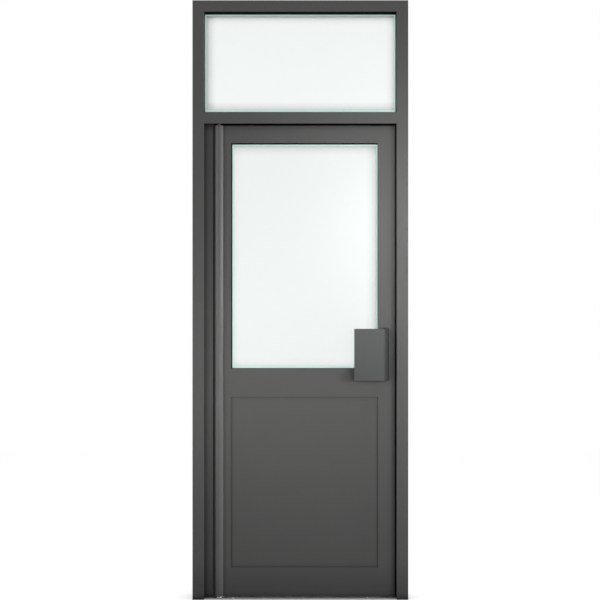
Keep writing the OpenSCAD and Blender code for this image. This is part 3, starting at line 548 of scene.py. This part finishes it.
def nested_rectangles(low, high, insets, depths):
    """Rectangles in front view, each one the outline moved in by its inset, at its own depth.

    They turn left, right, right, left as X and low, low, high, high as Z: one row of four corners each.
    An inset is one number, or four for the left, right, lower and upper side.
    """
    depths = np.asarray(depths)[:, None]
    insets = np.broadcast_to(np.reshape(insets, (len(depths), -1)), (len(depths), 4))
    left, right, lower, upper = (insets[:, i:i + 1] for i in range(4))
    side = np.array([0, 1, 1, 0])[None, :]
    level = np.array([0, 0, 1, 1])[None, :]
    x = np.where(side == 0, low.x + left, high.x - right)
    z = np.where(level == 0, low.z + lower, high.z - upper)
    return np.stack([x, np.broadcast_to(depths, x.shape), z], axis=-1)


def capped_rings(rings):
    """Faces of a stack of four-cornered rings with a face over the first ring and the last one."""
    count = len(rings)
    walls = grid_faces(count, 4, closed=True)
    first = np.array([[0, 1, 2, 3]])
    last = np.array([[3, 2, 1, 0]]) + 4 * (count - 1)
    return np.concatenate([first, walls[:, ::-1], last])


def pane(name, node, body, settings, shadow_strip, hidden, materials):
    """A laminated pane: satin field, clear margin, ground edge with its arris, and the same again behind.

    The tuple after the settings gives the millimetres of dark ground edge that stand past the left, right,
    lower and upper sight edge, painted shadow of the lips;
    hidden is what the bar below takes from the foot of the margin.
    """
    low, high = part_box(node)
    edge = settings.bite + np.array(shadow_strip) * MM
    field = edge + settings.margin + np.array([0, 0, hidden, 0]) * MM
    bevel = np.full(4, settings.arris)
    none = np.zeros(4)
    insets = np.stack([field, edge, bevel, none, none, bevel, edge, field])
    rise = [0, 0, 0, settings.arris]
    depths = [low.y + step for step in rise] + [high.y - step for step in rise[::-1]]
    rings = nested_rectangles(low, high, insets, depths)
    zones = np.repeat([1, 2, 2, 2, 2, 2, 1], 4)
    shades = np.concatenate([[0], zones, [0]])
    return build(name, rings, capped_rings(rings), materials, body, node, shades=shades)


def quarter(count):
    """Angles over a quarter turn."""
    return np.linspace(0, math.pi / 2, count)


def raised_panel(name, node, body, settings, material):
    """A panel with a raised field: flat face, quarter-round shoulder, step, thin border, edge and back.

    The attribute of painted shade is 1 at the shoulder and falls off inwards with the square of what is
    left of its width.
    """
    low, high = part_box(node)
    turn = quarter(7)
    shade_rings = 8
    inward = np.linspace(1, 0, shade_rings + 1)[:-1]
    flat_in = settings.border + settings.shoulder + settings.shade_band * inward
    round_in = settings.border + settings.shoulder * (1 - np.sin(turn))
    round_out = low.y + settings.shoulder * (1 - np.cos(turn))
    floor = low.y + settings.raised
    bevel = 0.5 * MM
    insets = np.concatenate([flat_in, round_in, [settings.border, bevel, 0, 0, bevel]])
    depths = np.concatenate([np.full(shade_rings, low.y), round_out,
                             [floor, floor, floor + bevel, high.y - bevel, high.y]])
    rings = nested_rectangles(low, high, insets, depths)
    made = build(name, rings, capped_rings(rings), [material], body, node)
    # Painted shade along the edge of the field, carried as an attribute
    shade_band = np.concatenate([(1 - inward) ** 2, np.ones(len(insets) - shade_rings)])
    made.data.attributes.new("edge_shade", "FLOAT", "POINT").data.foreach_set("value", np.repeat(shade_band, 4))
    return made


def fold_line(inset, trim, low, high, settings):
    """Plan of the folded sheet at a depth into it: plate, bend, web, bend, flange, as rows of X and Y.

    The two bends are arcs about the same centres at every depth, so their radius is what is left.
    """
    depth = high.y - low.y
    turn = math.atan2(depth, settings.run)
    reach = settings.bend + settings.thickness
    corner = low.x + settings.plate
    slope = settings.run / depth
    near = np.array([corner + reach * slope - reach / math.sin(turn), low.y + reach])
    far = np.array([corner + (depth - reach) * slope - reach / math.sin(turn), high.y - reach])
    radius = reach - inset
    first = np.linspace(-math.pi / 2, turn - math.pi / 2, 9)
    second = np.linspace(turn - math.pi / 2, math.pi / 2, 13)
    bend_in = near + radius * np.stack([np.cos(first), np.sin(first)], axis=1)
    bend_out = far + radius * np.stack([np.cos(second), np.sin(second)], axis=1)
    lip = corner + settings.run - settings.flange
    lead = 3 * MM
    start = np.array([[low.x + trim, low.y + inset], [low.x + lead, low.y + inset]])
    end = np.array([[lip + lead, high.y - inset], [lip + trim, high.y - inset]])
    return np.concatenate([start, bend_in, bend_out, end])


def folded_handle(name, node, body, settings, materials):
    """A folded sheet with round cut edges: its plan is carried up Z and drawn in at both ends.

    The plate takes the first material, and all past the start of its bend takes the second: for the pull
    handle the same coat in a darker grey, painted shade on the web.
    """
    low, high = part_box(node)
    turn = quarter(5)
    ease = settings.edge * (1 - np.sin(turn))
    rise = settings.edge * (1 - np.cos(turn))
    cut = np.concatenate([ease, ease[::-1]])
    level = np.concatenate([low.z + rise, (high.z - rise)[::-1]])
    thick = settings.thickness
    shy = settings.edge * 0.3
    bend_starts = 3
    sections = []
    for inset, height in zip(cut, level):
        outer = fold_line(inset, inset + shy, low, high, settings)
        inner = fold_line(thick - inset, inset + shy, low, high, settings)
        loop = np.concatenate([outer, inner[::-1]])
        sections.append(np.column_stack([loop, np.full(len(loop), height)]))
    points = np.stack(sections)
    size = points.shape[1]
    walls = grid_faces(len(points), size, closed=True)
    i = np.arange(size // 2 - 1)
    cap = np.stack([i, size - 1 - i, size - 2 - i, i + 1], axis=1)
    top = cap[:, ::-1] + size * (len(points) - 1)
    faces = np.concatenate([walls, cap, top])
    side = faces.min(axis=1) % size
    side = np.minimum(side, size - 2 - side)
    shades = (side >= bend_starts).astype(int)
    return build(name, points, faces, materials, body, node, shades=shades)


def rounded(corners, radius, steps=5):
    """A closed outline whose corners are replaced by arcs: each arc blends from edge to edge.

    An arc is the quadratic curve through the points at a distance from the corner along both edges.
    """
    corner = np.asarray(corners, dtype=float)
    before = np.roll(corner, 1, axis=0) - corner
    after = np.roll(corner, -1, axis=0) - corner
    back = np.linalg.norm(before, axis=1)[:, None]
    ahead = np.linalg.norm(after, axis=1)[:, None]
    most = 0.45
    reach = np.minimum(np.minimum(back, ahead) * most, radius)
    start = corner + reach * before / back
    end = corner + reach * after / ahead
    t = np.linspace(0, 1, steps)[None, :, None]
    arc = (1 - t) ** 2 * start[:, None] + 2 * t * (1 - t) * corner[:, None] + t ** 2 * end[:, None]
    return arc.reshape(-1, 2)


def outward(section):
    """The outline turned anticlockwise: its shoelace area is made positive."""
    after = np.roll(section, -1, axis=0)
    area = np.sum(section[:, 0] * after[:, 1] - after[:, 0] * section[:, 1])
    return section if area > 0 else section[::-1]


def strip_mesh(section, along, span):
    """Points and faces of a section carried straight along an axis, closed at both ends of its span."""
    section = outward(section)
    count = len(section)
    a = np.broadcast_to(section[:, 0], (2, count))
    b = np.broadcast_to(section[:, 1], (2, count))
    run = np.broadcast_to(np.array(span)[:, None], (2, count))
    points = np.stack([a, b, run] if along == "Z" else [run, a, b], axis=-1).reshape(-1, 3)
    walls = grid_faces(2, count, closed=True).tolist()
    return points, walls + [list(range(count))[::-1], list(range(count, 2 * count))]


def strip(name, node, body, section, along, span, material):
    """A straight seal of one section."""
    points, faces = strip_mesh(section, along, span)
    return build(name, points, faces, [material], body, node, crease=40.0)


def tongue(half, height, back):
    """Stop seal in plan: an elliptic crown over a flat back, a stem and a bulb that snaps into its slot."""
    turn = np.linspace(0, math.pi, 17)
    crown = np.stack([half * np.cos(turn), back - height * np.sin(turn)], axis=1)
    snap, end, point = back + SNAP, back + 3 * MM, BULB * 0.8
    foot = np.array([[-STEM, back], [-STEM, snap], [-BULB, snap], [-point, end],
                     [point, end], [BULB, snap], [STEM, snap], [STEM, back]])
    return np.concatenate([crown, foot])


def glazing_ring(name, node, body, show, foot, material):
    """A gasket round an opening: its section goes round the rectangle, mitred at the corners.

    The section is a flat band with a round lip and two fins on the glass; foot adds a stem with a bulb.
    """
    low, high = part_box(node)
    face = low.y + (FOOT if foot else 0)
    back = high.y
    reach = BAND + show
    half = (back - face) / 2
    turn = np.linspace(-math.pi / 2, math.pi / 2, 9)
    lip = np.stack([reach - half + half * np.cos(turn), (face + back) / 2 + half * np.sin(turn)], axis=1)
    fins = np.array(FINS) * MM
    rear = np.stack([fins[:, 0], back - fins[:, 1]], axis=1)
    parts = [lip, rear, [[0, face]]]
    if foot:
        across = np.array([-STEM, -STEM, -BULB, -BULB, BULB, BULB, STEM, STEM]) + BAND / 2
        down = face - np.array([0, SNAP, SNAP, FOOT, FOOT, SNAP, SNAP, 0])
        parts.append(np.stack([across, down], axis=1))
    section = np.concatenate(parts)
    rings = nested_rectangles(low, high, section[:, 0], section[:, 1])
    faces = grid_faces(len(section), 4, closed=True, looped=True)
    return build(name, rings, faces, [material], body, node, crease=40.0)


def bristles(roots, tips, thick):
    """Three-sided hairs from root to tip that narrow to two thirds, each closed at both ends."""
    turn = np.arange(3) * math.tau / 3
    ring = np.stack([np.cos(turn), np.sin(turn), np.zeros(3)], axis=1) * thick
    points = np.stack([roots[:, None] + ring, tips[:, None] + ring * 0.66], axis=1)
    start = np.arange(len(roots))[:, None, None] * 6
    side = np.array([[0, 3, 4, 1], [1, 4, 5, 2], [2, 5, 3, 0]])
    end = np.array([[3, 5, 4], [0, 1, 2]])
    return points.reshape(-1, 3), (start + side).reshape(-1, 4), (start + end).reshape(-1, 3)


def brush(name, node, body, settings, materials):
    """Brush under the leaf: a carrier with a snap-in bulb, and rows of hairs that lean at random.

    The carrier's section is half an outline and its mirror image; each hair is straight.
    """
    low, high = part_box(node)
    middle = (low.y + high.y) / 2
    base = low.z + 4 * MM
    wide, plate, neck, top = 2.4 * MM, 0.6 * MM, 2.0 * MM, 3.7 * MM
    half = np.array([[wide, 0], [wide, plate], [STEM, plate], [STEM, neck], [BULB, neck], [BULB, top]])
    outline = np.concatenate([half, half[::-1] * [-1, 1]])
    carrier = rounded(np.roll(outline, 1, axis=0) + [middle, base], 0.3 * MM, 3)
    points, faces = strip_mesh(carrier, "X", (low.x, high.x))
    draw = np.random.default_rng(11)
    stations = np.arange(low.x + 1 * MM, high.x - 1 * MM, settings.tuft_pitch)
    rows = middle + np.linspace(-1.7, 1.7, settings.tuft_rows) * MM
    x, y = (part.ravel() for part in np.meshgrid(stations, rows))
    roots = np.stack([x, y, np.full_like(x, base + 0.3 * MM)], axis=1)
    lean = draw.uniform(-0.55, 0.55, (len(x), 2)) * MM
    drop = low.z + draw.uniform(0.05, 0.5, len(x)) * MM
    tips = np.column_stack([roots[:, :2] + lean, drop])
    # Real hairs are 0.15 mm thick, drawn thicker here so that the rows show
    hairs, sides, ends = bristles(roots, tips, 0.32 * MM)
    first = len(points)
    every = faces + (sides + first).tolist() + (ends + first).tolist()
    shades = np.concatenate([np.zeros(len(faces)), np.ones(len(sides) + len(ends))])
    return build(name, np.concatenate([points, hairs]), every, materials, body, node,
                 crease=40.0, shades=shades)


def span_of(node, axis):
    """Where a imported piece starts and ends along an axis."""
    low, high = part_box(node)
    return low[axis], high[axis]


def rear_wiper():
    """Rear wiper in plan: a block whose inner face is an arc about the pivot, clear of the round stile.

    It is measured from the outer front corner of the hinge jamb.
    """
    pivot, reach = np.array([110.0, 28.0]), 19.4
    left, right, back, ease = 114.2, 121.2, 51.0, 0.4
    ends = np.array([[left, 46.94], [right, 43.84]]) - pivot
    turn = np.linspace(math.atan2(ends[0, 1], ends[0, 0]), math.atan2(ends[1, 1], ends[1, 0]), 9)
    arc = pivot + reach * np.stack([np.cos(turn), np.sin(turn)], axis=1)
    block = [[right, back - ease], [right - ease, back], [left + ease, back], [left, back - ease]]
    return np.concatenate([arc, block]) * MM


def white_surround(scene, settings):
    """World that looks white to the camera, in gloss and through glass, and lights with a dimmer grey."""
    world = bpy.data.worlds.new("white_surround")
    world.use_nodes = True
    tree = world.node_tree
    tree.nodes.clear()
    seen = direct_sight(tree)
    white = linear("#FFFFFF")
    grey = add(tree, "ShaderNodeBackground", {"Color": white, "Strength": settings.ambient})
    plain = add(tree, "ShaderNodeBackground", {"Color": white, "Strength": 1.0})
    both = add(tree, "ShaderNodeMixShader", (seen, grey.outputs[0], plain.outputs[0]))
    add(tree, "ShaderNodeOutputWorld", {"Surface": both.outputs[0]})
    scene.world = world


def direct_sight(tree):
    """1 for rays from the camera, from gloss and through glass, 0 for rays that light dull faces."""
    path = add(tree, "ShaderNodeLightPath").outputs
    gloss = add(tree, "ShaderNodeMath", (path["Is Camera Ray"], path["Is Glossy Ray"]), operation="MAXIMUM")
    either = add(tree, "ShaderNodeMath", (gloss.outputs[0], path["Is Transmission Ray"]),
                 operation="MAXIMUM")
    first = add(tree, "ShaderNodeMath", (path["Diffuse Depth"], 0.5), operation="LESS_THAN")
    both = add(tree, "ShaderNodeMath", (either.outputs[0], first.outputs[0]), operation="MULTIPLY")
    return both.outputs[0]


def pale_floor():
    """A flat floor that is pale to the eye and keeps the shadow, and throws little light back up."""
    made, tree = new_material("pale_studio_floor")
    seen = direct_sight(tree)
    dull = add(tree, "ShaderNodeBsdfDiffuse", {"Color": linear("#383838")})
    pale = add(tree, "ShaderNodeBsdfDiffuse", {"Color": linear("#595959")})
    # The shadow lies close round the foot, where little of the surround is open
    shadow = add(tree, "ShaderNodeMapRange", (openness(tree, 300 * MM), 0.4, 0.9, 0.65, 0.97))
    glow = add(tree, "ShaderNodeEmission", {"Color": linear("#FFFFFF"), "Strength": shadow.outputs[0]})
    lit = add(tree, "ShaderNodeAddShader", (pale.outputs[0], glow.outputs[0]))
    both = add(tree, "ShaderNodeMixShader", (seen, dull.outputs[0], lit.outputs[0]))
    add(tree, "ShaderNodeOutputMaterial", {"Surface": both.outputs[0]})
    edge = np.linspace(-FLOOR_HALF, FLOOR_HALF, FLOOR_POINTS)
    x, y = np.meshgrid(edge, edge)
    points = np.stack([x, y, np.full_like(x, FLOOR_LEVEL)], axis=-1).reshape(-1, 3)
    mesh = bpy.data.meshes.new("floor")
    mesh.from_pydata(points.tolist(), [], grid_faces(FLOOR_POINTS, FLOOR_POINTS).tolist())
    mesh.materials.append(made)
    floor = bpy.data.objects.new("floor", mesh)
    bpy.context.scene.collection.objects.link(floor)


def lamp(name, place, target, width, height, power, spread=180.0):
    """A rectangular soft light that faces a target; a grid on it narrows the spread in degrees."""
    light = bpy.data.lights.new(name, "AREA")
    light.shape = "RECTANGLE"
    light.size = width
    light.size_y = height
    light.energy = power
    light.spread = math.radians(spread)
    made = bpy.data.objects.new(name, light)
    made.location = place
    aim = np.array(target) - np.array(place)
    level = math.hypot(aim[0], aim[1])
    made.rotation_euler = (math.atan2(level, -aim[2]), 0, math.atan2(-aim[0], aim[1]))
    made.visible_camera = False
    made.visible_transmission = False
    bpy.context.scene.collection.objects.link(made)


class CoatedProfiles(bpy.types.Operator):
    """Powder coat on the extrusions and beads"""

    bl_idname = "door.coated_profiles"
    bl_label = "Coated profiles"

    def execute(self, context):
        settings = context.scene.door_coat
        finish_nodes(PROFILES, powder_coat("satin_powder_coat", settings.grey, settings))
        finish_nodes(GLAZING_BEADS, powder_coat("bead_powder_coat", settings.grey, settings, under=1.0))
        tube = powder_coat("polished_powder_coat", settings.grey, settings, 0.85, 0.25)
        finish_nodes(["pivot_stile"], tube)
        return {"FINISHED"}


class Fittings(bpy.types.Operator):
    """Finishes of the metal and moulded fittings"""

    bl_idname = "door.fittings"
    bl_label = "Fittings"

    def execute(self, context):
        finish_nodes(BARE_ALUMINIUM, mill_aluminium())
        finish_nodes(PLATED_STEEL, zinc_steel())
        finish_nodes(MOULDED_NYLON, moulded_nylon())
        finish_nodes(TURNED_BRONZE, bearing_bronze())
        return {"FINISHED"}


class Panes(bpy.types.Operator):
    """Satin panes of the leaf and the transom light"""

    bl_idname = "door.panes"
    bl_label = "Panes"

    def execute(self, context):
        settings = context.scene.door_pane
        rim = [clear_margin(settings), ground_edge_and_shadow(settings)]
        # A strip of the dark ground edge stands past the sight edge at the top and some sides, never at the
        # foot: painted shadow of the lips
        # Each pane's field also has its own lean and depth of painted shade along the frame
        pane("leaf_pane", "leaf_glass", "leaf", settings, (5, 0, 0, 3.5), 0,
             [satin_glass("satin_etched_leaf_glass", settings.leaf_satin, (0.25, 0.3), 0.18), *rim])
        pane("transom_pane", "transom_glass", "frame", settings, (2, 3, 0, 4), 6,
             [satin_glass("satin_etched_transom_glass", settings.transom_satin, (-0.2, -0.25), 0.3), *rim])
        return {"FINISHED"}


class LowerPanel(bpy.types.Operator):
    """Raised panel under the mid rail"""

    bl_idname = "door.lower_panel"
    bl_label = "Lower panel"

    def execute(self, context):
        coat = context.scene.door_coat
        # The panel's coat is painted darker along the edge of its field, as shade
        finish = powder_coat("panel_powder_coat", coat.panel_grey, coat, 0.75, edge_shade=0.16)
        raised_panel("raised_panel", "kick_panel", "leaf", context.scene.door_panel, finish)
        return {"FINISHED"}


class PullHandle(bpy.types.Operator):
    """Folded pull plate"""

    bl_idname = "door.pull_handle"
    bl_label = "Pull handle"

    def execute(self, context):
        coat = context.scene.door_coat
        plate = powder_coat("handle_powder_coat", coat.handle_grey, coat)
        # Painted shade: the web takes the same coat in a darker grey
        web = powder_coat("handle_web_shaded_coat", coat.web_shade_grey, coat, 0.95)
        folded_handle("folded_pull", "pull_handle", "leaf", context.scene.door_handle, [plate, web])
        return {"FINISHED"}


class Seals(bpy.types.Operator):
    """Glazing gaskets and stop seals"""

    bl_idname = "door.seals"
    bl_label = "Seals"

    def execute(self, context):
        settings = context.scene.door_seal
        rubber = seal_rubber(settings)
        for node, body, show in GLAZING_GASKETS:
            glazing_ring(node + "_ring", node, body, show, node.endswith("outer"), rubber)
        corner = np.array([CAD_BOX[0].x, FRAME_FRONT])
        front = np.array(FRONT_WIPER) * MM + corner
        strip("guard_wiper_front", "guard_seal_front", "frame", rounded(front, 0.4 * MM), "Z",
              span_of("guard_seal_front", 2), rubber)
        strip("guard_wiper_rear", "guard_seal_rear", "frame", rear_wiper() + corner, "Z",
              span_of("guard_seal_rear", 2), rubber)
        low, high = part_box("lock_stop_gasket")
        crown = 3.7 * MM
        tail = tongue((high.x - low.x) / 2, crown, low.y + crown)
        strip("lock_stop_seal", "lock_stop_gasket", "frame", tail + [(low.x + high.x) / 2, 0], "Z",
              (low.z, high.z), rubber)
        low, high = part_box("top_stop_gasket")
        strip("top_stop_seal", "top_stop_gasket", "frame", tail[:, ::-1] + [0, (low.z + high.z) / 2], "X",
              (low.x, high.x), rubber)
        brush("sweep_brush", "bottom_brush", "leaf", settings, [rubber, brush_pile(settings)])
        return {"FINISHED"}


class Stage(bpy.types.Operator):
    """Floor, light and camera"""

    bl_idname = "door.stage"
    bl_label = "Stage"

    def execute(self, context):
        settings = context.scene.door_stage
        context.scene.view_settings.view_transform = "Standard"
        white_surround(context.scene, settings)
        pale_floor()
        for softbox in SOFTBOXES:
            lamp(*softbox)
        camera = bpy.data.cameras.new("door_camera")
        camera.sensor_width = SENSOR_MM
        camera.lens = settings.lens
        seen = bpy.data.objects.new("door_camera", camera)
        seen.location = (CAMERA_ASIDE, FRAME_FRONT - settings.distance, settings.eye)
        seen.rotation_euler = (math.pi / 2, 0, 0)
        context.scene.collection.objects.link(seen)
        context.scene.camera = seen
        return {"FINISHED"}


class DoorPanel(bpy.types.Panel):
    """Lists the pieces of the door in the sidebar"""

    bl_idname = "VIEW3D_PT_door"
    bl_label = "Door"
    bl_space_type = "VIEW_3D"
    bl_region_type = "UI"
    bl_category = "Door"

    def draw(self, context):
        for piece in PIECES:
            self.layout.operator(piece.bl_idname)


SETTINGS = {"door_coat": CoatSettings, "door_pane": PaneSettings, "door_panel": PanelSettings,
            "door_handle": HandleSettings, "door_seal": SealSettings, "door_stage": StageSettings}
PIECES = (CoatedProfiles, Fittings, Panes, LowerPanel, PullHandle, Seals, Stage)


def register():
    """Makes the settings and the operators known."""
    for group in (*SETTINGS.values(), *PIECES, DoorPanel):
        bpy.utils.register_class(group)
    for name, group in SETTINGS.items():
        setattr(bpy.types.Scene, name, bpy.props.PointerProperty(type=group))


def unregister():
    """Takes them away again, last first."""
    for name in SETTINGS:
        delattr(bpy.types.Scene, name)
    for group in (DoorPanel, *reversed(PIECES), *reversed(list(SETTINGS.values()))):
        bpy.utils.unregister_class(group)


def main():
    """Builds the stage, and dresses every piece."""
    register()
    bpy.ops.door.stage()
    bpy.ops.door.coated_profiles()
    bpy.ops.door.fittings()
    bpy.ops.door.panes()
    bpy.ops.door.lower_panel()
    bpy.ops.door.pull_handle()
    bpy.ops.door.seals()


if __name__ == "__main__":
    main()
